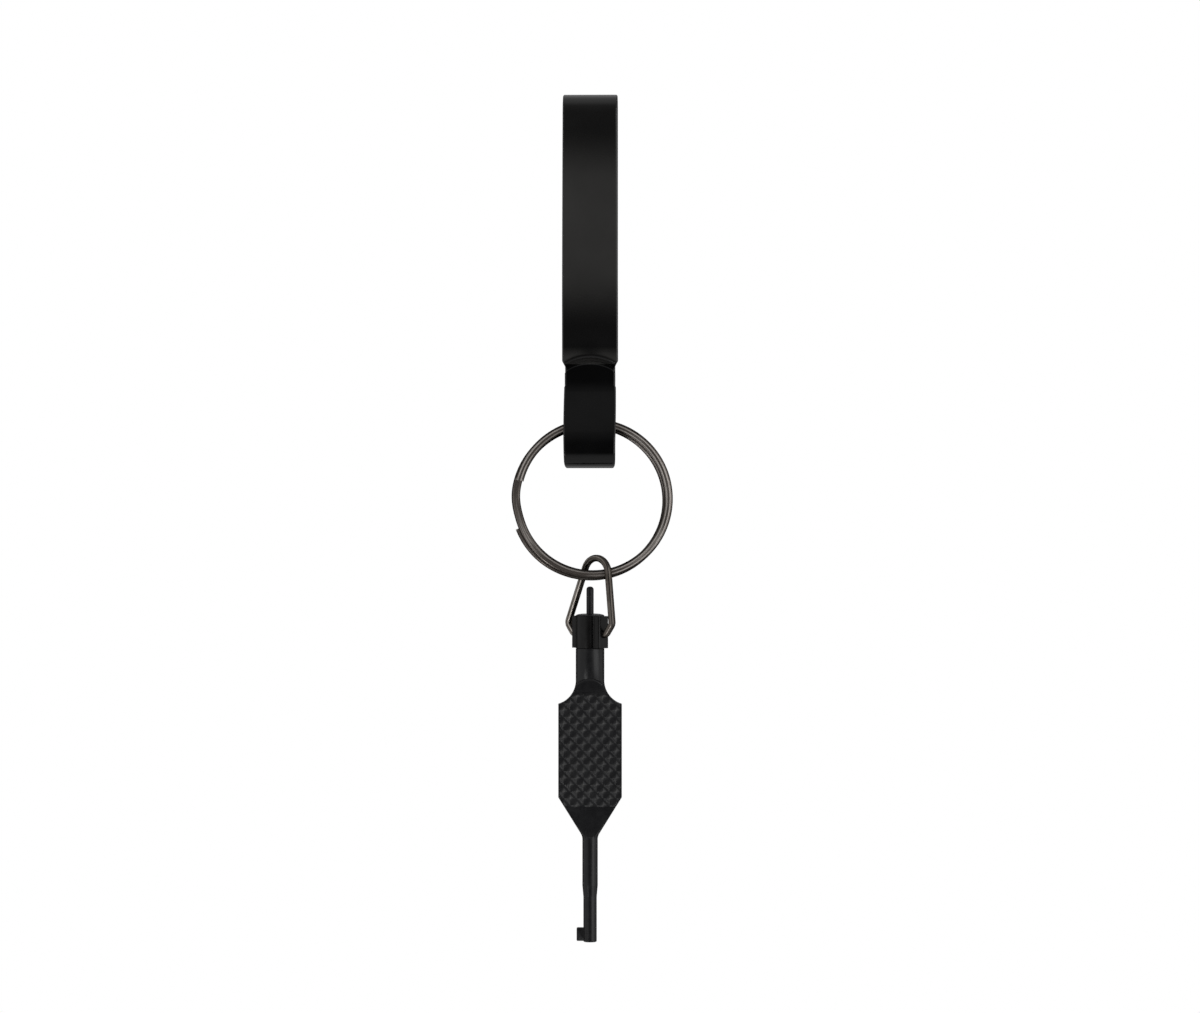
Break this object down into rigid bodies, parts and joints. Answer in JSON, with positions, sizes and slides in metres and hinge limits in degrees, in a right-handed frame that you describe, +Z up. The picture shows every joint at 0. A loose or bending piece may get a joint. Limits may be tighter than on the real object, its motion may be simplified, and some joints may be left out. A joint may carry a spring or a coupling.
{
  "type": "belt key clip",
  "caption": "Spring-steel belt clip with a hook and sprung tongue, carrying a split ring, a wire swivel and a flat-gripped handcuff key.",
  "frame": {"origin": "inner crown of the clip's top bend, in the middle of its width: the point that hangs on a belt's top edge", "axes": "+X to the viewer's right, +Y from the front panel towards the back leg and the belt's wearer, +Z up"},
  "size_m": [0.04, 0.0153, 0.2096],
  "materials": {
    "clip_steel": "glossy black",
    "ring_steel": "black nickel",
    "bail_steel": "black nickel",
    "collar_steel": "satin black",
    "key_steel": "satin black",
    "pin_steel": "satin black"
  },
  "bodies": {
    "clip": {"belt_clip": "clip_steel"},
    "ring": {"split_ring": "ring_steel"},
    "bail": {"swivel_bail": "bail_steel"},
    "collar": {"swivel_collar": "collar_steel"},
    "key": {"key_body": "key_steel", "lock_pin": "pin_steel"}
  },
  "joints": [
    {"name": "ring_swing", "type": "hinge", "parent": "clip", "child": "ring", "pos_m": [0.0005, -0.00487, -0.08095], "axis": [-1, 0, 0], "range_deg": [-70, 90]},
    {"name": "bail_swing", "type": "hinge", "parent": "ring", "child": "bail", "pos_m": [0.0005, -0.00477, -0.1176], "axis": [-1, 0, 0], "range_deg": [-60, 60]},
    {"name": "collar_swing", "type": "hinge", "parent": "bail", "child": "collar", "pos_m": [0, -0.00352, -0.13242], "axis": [0.766, -0.6428, 0], "range_deg": [-60, 60]},
    {"name": "key_spin", "type": "hinge", "parent": "collar", "child": "key", "pos_m": [0, -0.00352, -0.141], "axis": [0, 0, 1], "continuous": true}
  ]
}
